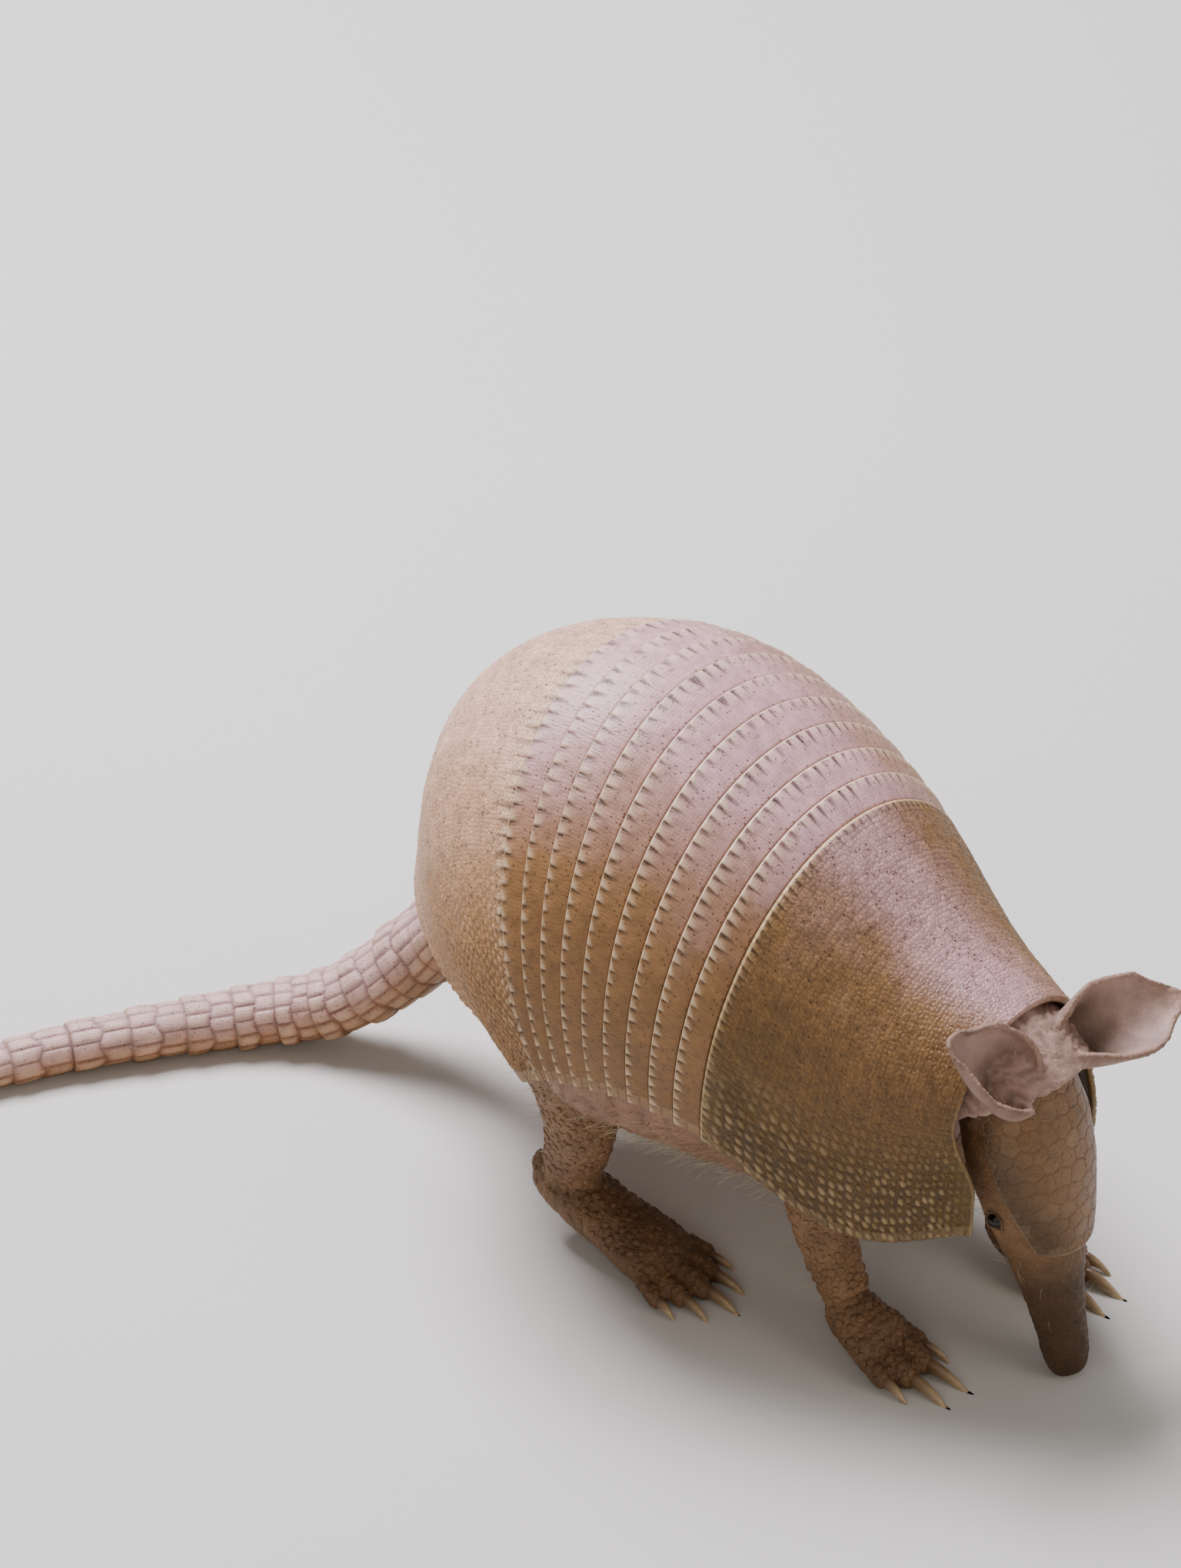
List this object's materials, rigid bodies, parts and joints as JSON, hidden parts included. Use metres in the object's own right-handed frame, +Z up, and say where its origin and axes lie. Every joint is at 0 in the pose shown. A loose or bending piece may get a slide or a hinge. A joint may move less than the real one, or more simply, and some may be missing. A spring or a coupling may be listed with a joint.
{
  "type": "nine-banded armadillo model",
  "caption": "Life-size still model of an armadillo foraging nose down, with a shield at shoulder and hip, movable-looking bands between them and a long ringed tail on the ground",
  "frame": {"origin": "on the ground, under the middle of the whole model's box, tail included", "axes": "+X is the way the animal heads, +Y is its left side, +Z is up"},
  "size_m": [0.3468, 0.3024, 0.1737],
  "materials": {
    "shell": "horn-covered bony scutes, warm pinkish brown with cream rear edges, semi-matte",
    "skin": "bare wrinkled skin with sparse pale hairs and small scales on legs and face, matte",
    "ear": "thin leathery skin, finely pebbled, matte",
    "tail": "horn-covered ring scutes, pinkish brown, semi-matte",
    "claw": "yellowish horn, worn and semi-gloss",
    "eye": "wet dark brown eye, glossy"
  },
  "bodies": {
    "root": {"band_1": "shell", "band_2": "shell", "band_3": "shell", "band_4": "shell", "band_5": "shell", "band_6": "shell", "band_7": "shell", "band_8": "shell", "band_9": "shell", "ear_left": "ear", "ear_right": "ear", "eye_left": "eye", "eye_right": "eye", "fore_claw_left_1": "claw", "fore_claw_left_2": "claw", "fore_claw_left_3": "claw", "fore_claw_left_4": "claw", "fore_claw_right_1": "claw", "fore_claw_right_2": "claw", "fore_claw_right_3": "claw", "fore_claw_right_4": "claw", "fore_foot_left": "skin", "fore_foot_right": "skin", "fore_leg_left": "skin", "fore_leg_right": "skin", "head": "skin", "head_shield": "shell", "hind_claw_left_1": "claw", "hind_claw_left_2": "claw", "hind_claw_left_3": "claw", "hind_claw_left_4": "claw", "hind_claw_left_5": "claw", "hind_claw_right_1": "claw", "hind_claw_right_2": "claw", "hind_claw_right_3": "claw", "hind_claw_right_4": "claw", "hind_claw_right_5": "claw", "hind_foot_left": "skin", "hind_foot_right": "skin", "hind_leg_left": "skin", "hind_leg_right": "skin", "neck": "skin", "pelvic_shield": "shell", "scapular_shield": "shell", "tail_aft": "tail", "tail_base": "tail", "tail_fore": "tail", "tail_mid": "tail", "tail_tip": "tail", "trunk": "skin"}
  },
  "joints": []
}
